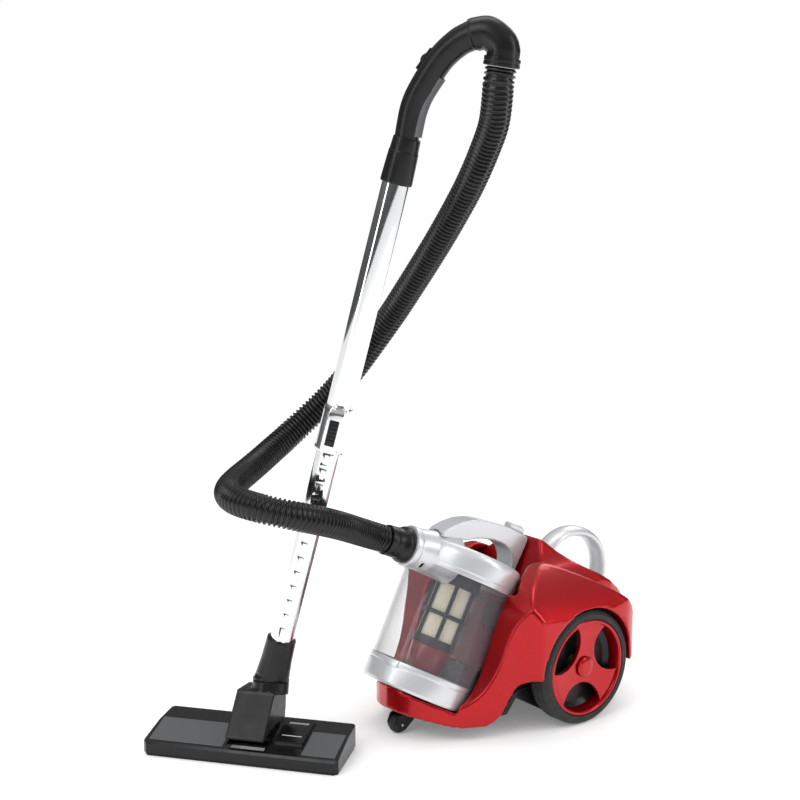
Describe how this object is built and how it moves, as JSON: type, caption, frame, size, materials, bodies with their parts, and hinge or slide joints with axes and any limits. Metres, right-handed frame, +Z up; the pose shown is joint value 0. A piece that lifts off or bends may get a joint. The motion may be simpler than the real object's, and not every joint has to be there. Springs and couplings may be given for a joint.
{
  "type": "canister vacuum cleaner",
  "caption": "Bagless canister vacuum cleaner with clear dust cup, ribbed hose, telescopic chrome tube and floor head, jointed throughout.",
  "frame": {"origin": "on the floor under the middle of the rigid parts (the hose left out)", "axes": "+X the way the canister is pulled, +Y its left, +Z up"},
  "size_m": [0.7182, 0.4171, 0.9673],
  "materials": {
    "black_plastic": "satin black moulding",
    "red_shell": "glossy metallic red",
    "silver_plastic": "silver metallic paint",
    "chrome_button": "polished",
    "steel": "bright",
    "tyre_rubber": "matt",
    "motor_metal": "cast",
    "soft_rubber": "matt",
    "filter_foam": "open foam",
    "filter_paper": "pleated paper",
    "reel_plastic": "matt",
    "board": "green board",
    "clear_plastic": "clear, slightly smoky",
    "cage_black": "satin",
    "cone_red": "dark red",
    "hose_black": "ribbed, satin",
    "grip_grey": "ribbed",
    "vent_black": "glossy",
    "tube_chrome": "polished",
    "slider_grey": "satin",
    "panel_grey": "satin grey",
    "sole_grey": "matt",
    "bristle": "short bristle",
    "pedal_black": "satin"
  },
  "bodies": {
    "canister": {"base_pan": "black_plastic", "body_shell": "red_shell", "fender_shell": "red_shell", "rear_trim": "silver_plastic", "carry_handle": "silver_plastic", "stub_axles": "steel", "motor_can": "motor_metal", "motor_mount": "soft_rubber", "motor_filter": "filter_foam", "exhaust_filter": "filter_paper", "exhaust_grille": "black_plastic", "reel_spindle": "steel", "cord_outlet": "black_plastic", "control_board": "board", "body_screws": "steel"},
    "wheel_left": {"tyre_left": "tyre_rubber", "rim_left": "red_shell", "hub_cap_left": "red_shell"},
    "wheel_right": {"tyre_right": "tyre_rubber", "rim_right": "red_shell", "hub_cap_right": "red_shell"},
    "caster": {"caster_fork": "black_plastic", "caster_pin": "steel"},
    "caster_roller": {"caster_wheel": "tyre_rubber"},
    "motor_rotor": {"motor_fan": "motor_metal"},
    "cord_drum": {"cord_reel": "reel_plastic"},
    "power_switch": {"power_button": "chrome_button"},
    "rewind_switch": {"rewind_button": "chrome_button"},
    "cup": {"cup_wall_clear": "clear_plastic", "cup_bottom": "silver_plastic", "cup_seal": "soft_rubber", "door_latch": "silver_plastic", "cup_lid": "silver_plastic", "inlet_port": "silver_plastic", "cup_handle": "silver_plastic", "release_spring": "steel", "filter_cage": "cage_black", "filter_pleats": "filter_paper", "cyclone_cone": "cone_red"},
    "cup_release": {"release_button": "silver_plastic"},
    "hose_plug": {"hose_connector": "black_plastic"},
    "wand": {"upper_tube": "tube_chrome", "tube_sleeve": "tube_chrome", "grip_collar": "black_plastic", "grip": "black_plastic", "grip_insert": "grip_grey", "grip_elbow": "black_plastic", "hose": "hose_black"},
    "hose_swivel": {"hose_end_ring": "black_plastic"},
    "air_vent": {"air_slider": "vent_black"},
    "tube_lock": {"tube_slider": "slider_grey"},
    "lower_wand": {"lower_tube": "tube_chrome", "neck_elbow": "black_plastic"},
    "neck": {"swivel_block": "black_plastic"},
    "floor_head": {"head_cover": "black_plastic", "head_panel": "panel_grey", "sole_plate": "sole_grey", "head_pins": "steel"},
    "pedal": {"head_pedal": "pedal_black"},
    "brush": {"brush_strip": "bristle"}
  },
  "joints": [
    {"name": "wheel_left_spin", "type": "hinge", "parent": "canister", "child": "wheel_left", "pos_m": [-0.1886, 0.1218, 0.083], "axis": [0, 1, 0], "continuous": true},
    {"name": "wheel_right_spin", "type": "hinge", "parent": "canister", "child": "wheel_right", "pos_m": [-0.1886, -0.1302, 0.083], "axis": [0, 1, 0], "continuous": true},
    {"name": "caster_swivel", "type": "hinge", "parent": "canister", "child": "caster", "pos_m": [0.0214, -0.0042, 0.03], "axis": [0, 0, 1], "continuous": true},
    {"name": "caster_roll", "type": "hinge", "parent": "caster", "child": "caster_roller", "pos_m": [0.0414, -0.0042, 0.013], "axis": [0, 1, 0], "continuous": true},
    {"name": "motor_spin", "type": "hinge", "parent": "canister", "child": "motor_rotor", "pos_m": [-0.1886, -0.0442, 0.098], "axis": [1, 0, 0], "continuous": true},
    {"name": "reel_spin", "type": "hinge", "parent": "canister", "child": "cord_drum", "pos_m": [-0.2606, 0.0418, 0.092], "axis": [0, 1, 0], "continuous": true},
    {"name": "power_press", "type": "slide", "parent": "canister", "child": "power_switch", "axis": [0.6018, 0, -0.7986], "range_m": [0, 0.003], "stiffness_N_per_m": 600, "springref_m": -0.001},
    {"name": "rewind_press", "type": "slide", "parent": "canister", "child": "rewind_switch", "axis": [0.6018, 0, -0.7986], "range_m": [0, 0.003], "stiffness_N_per_m": 600, "springref_m": -0.001},
    {"name": "cup_lift", "type": "slide", "parent": "canister", "child": "cup", "axis": [-0.4848, 0, 0.8746], "range_m": [0, 0.11]},
    {"name": "cup_release_press", "type": "slide", "parent": "cup", "child": "cup_release", "axis": [0.4924, 0, -0.8704], "range_m": [0, 0.0025], "stiffness_N_per_m": 600, "springref_m": -0.001, "deforming": ["release_spring"]},
    {"name": "hose_plug_spin", "type": "hinge", "parent": "cup", "child": "hose_plug", "pos_m": [0.01449, -0.01194, 0.26248], "axis": [0.9182, -0.129, 0.3746], "continuous": true},
    {"name": "wand_turn", "type": "hinge", "parent": "cup", "child": "wand", "pos_m": [0.1924, -0.0672, 0.153], "axis": [0, 0, 1], "range_deg": [-12, 12], "deforming": ["hose"]},
    {"name": "hose_end_spin", "type": "hinge", "parent": "wand", "child": "hose_swivel", "pos_m": [0.03028, 0.18629, 0.91819], "axis": [-0.0843, 0.1318, 0.9877], "continuous": true},
    {"name": "air_vent_slide", "type": "slide", "parent": "wand", "child": "air_vent", "axis": [-0.3317, 0.5187, 0.788], "range_m": [-0.003, 0.005]},
    {"name": "tube_lock_slide", "type": "slide", "parent": "wand", "child": "tube_lock", "axis": [-0.1394, 0.218, 0.9659], "range_m": [0, 0.006], "stiffness_N_per_m": 400, "springref_m": -0.001},
    {"name": "tube_telescope", "type": "slide", "parent": "wand", "child": "lower_wand", "axis": [-0.1394, 0.218, 0.9659], "range_m": [0, 0.235]},
    {"name": "neck_twist", "type": "hinge", "parent": "lower_wand", "child": "neck", "pos_m": [0.2016, -0.08159, 0.08925], "axis": [-0.2201, -0.1659, 0.9613], "range_deg": [-60, 60]},
    {"name": "neck_pitch", "type": "hinge", "parent": "neck", "child": "floor_head", "pos_m": [0.20843, -0.09176, 0.022], "axis": [-0.6018, 0.7986, 0], "range_deg": [0, 60]},
    {"name": "pedal_rock", "type": "hinge", "parent": "floor_head", "child": "pedal", "pos_m": [0.19968, -0.02698, 0.018], "axis": [0.6018, -0.7986, 0], "range_deg": [0, 12]},
    {"name": "brush_drop", "type": "slide", "parent": "floor_head", "child": "brush", "axis": [0, 0, -1], "range_m": [0, 0.003]}
  ],
  "couplings": [
    {"joint": "brush_drop", "follows": "pedal_rock", "m_per_rad": 0.014324}
  ]
}
